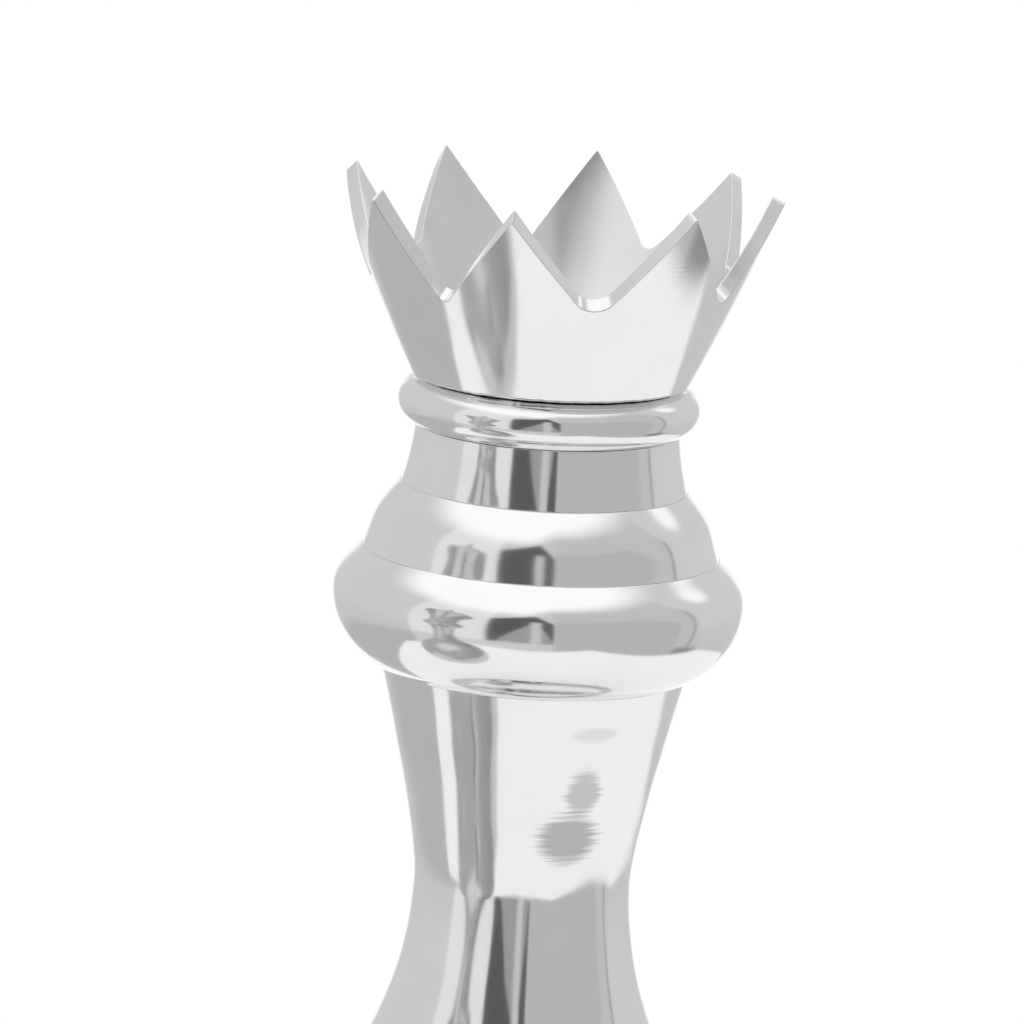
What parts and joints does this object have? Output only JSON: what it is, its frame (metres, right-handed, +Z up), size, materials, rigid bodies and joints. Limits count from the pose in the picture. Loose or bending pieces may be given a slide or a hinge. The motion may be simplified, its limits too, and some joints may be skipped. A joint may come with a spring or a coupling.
{
  "type": "giant chess piece",
  "caption": "Large queen chess piece in polished aluminium: an open, toothed crown over stacked rings, a waisted stem and a round bell base on a felt pad.",
  "frame": {"origin": "centre of the felt pad's underside, on the surface that the queen stands on", "axes": "+Z up along the queen's axis, from the foot to the crown; -Y is the front"},
  "size_m": [0.24, 0.24, 0.541],
  "materials": {
    "polished_aluminium": "hand-polished sand casting, near mirror, with fine scratches and a few pinholes",
    "zinc_plated_steel": "bright zinc plate",
    "cover_sheet": "plain rolled sheet, satin",
    "felt": "dense black wool felt"
  },
  "bodies": {
    "root": {"base_bead": "polished_aluminium", "base_cover": "cover_sheet", "base_nut": "zinc_plated_steel", "base_plinth": "polished_aluminium", "base_spring_washer": "zinc_plated_steel", "base_washer": "zinc_plated_steel", "bell": "polished_aluminium", "collar_bead": "polished_aluminium", "cover_screws": "zinc_plated_steel", "crown": "polished_aluminium", "crown_dome_nut": "zinc_plated_steel", "crown_washer": "zinc_plated_steel", "felt_pad": "felt", "lock_nut": "zinc_plated_steel", "lower_bulge": "polished_aluminium", "neck_band": "polished_aluminium", "stem": "polished_aluminium", "tie_rod": "zinc_plated_steel", "upper_bulge": "polished_aluminium"}
  },
  "joints": []
}
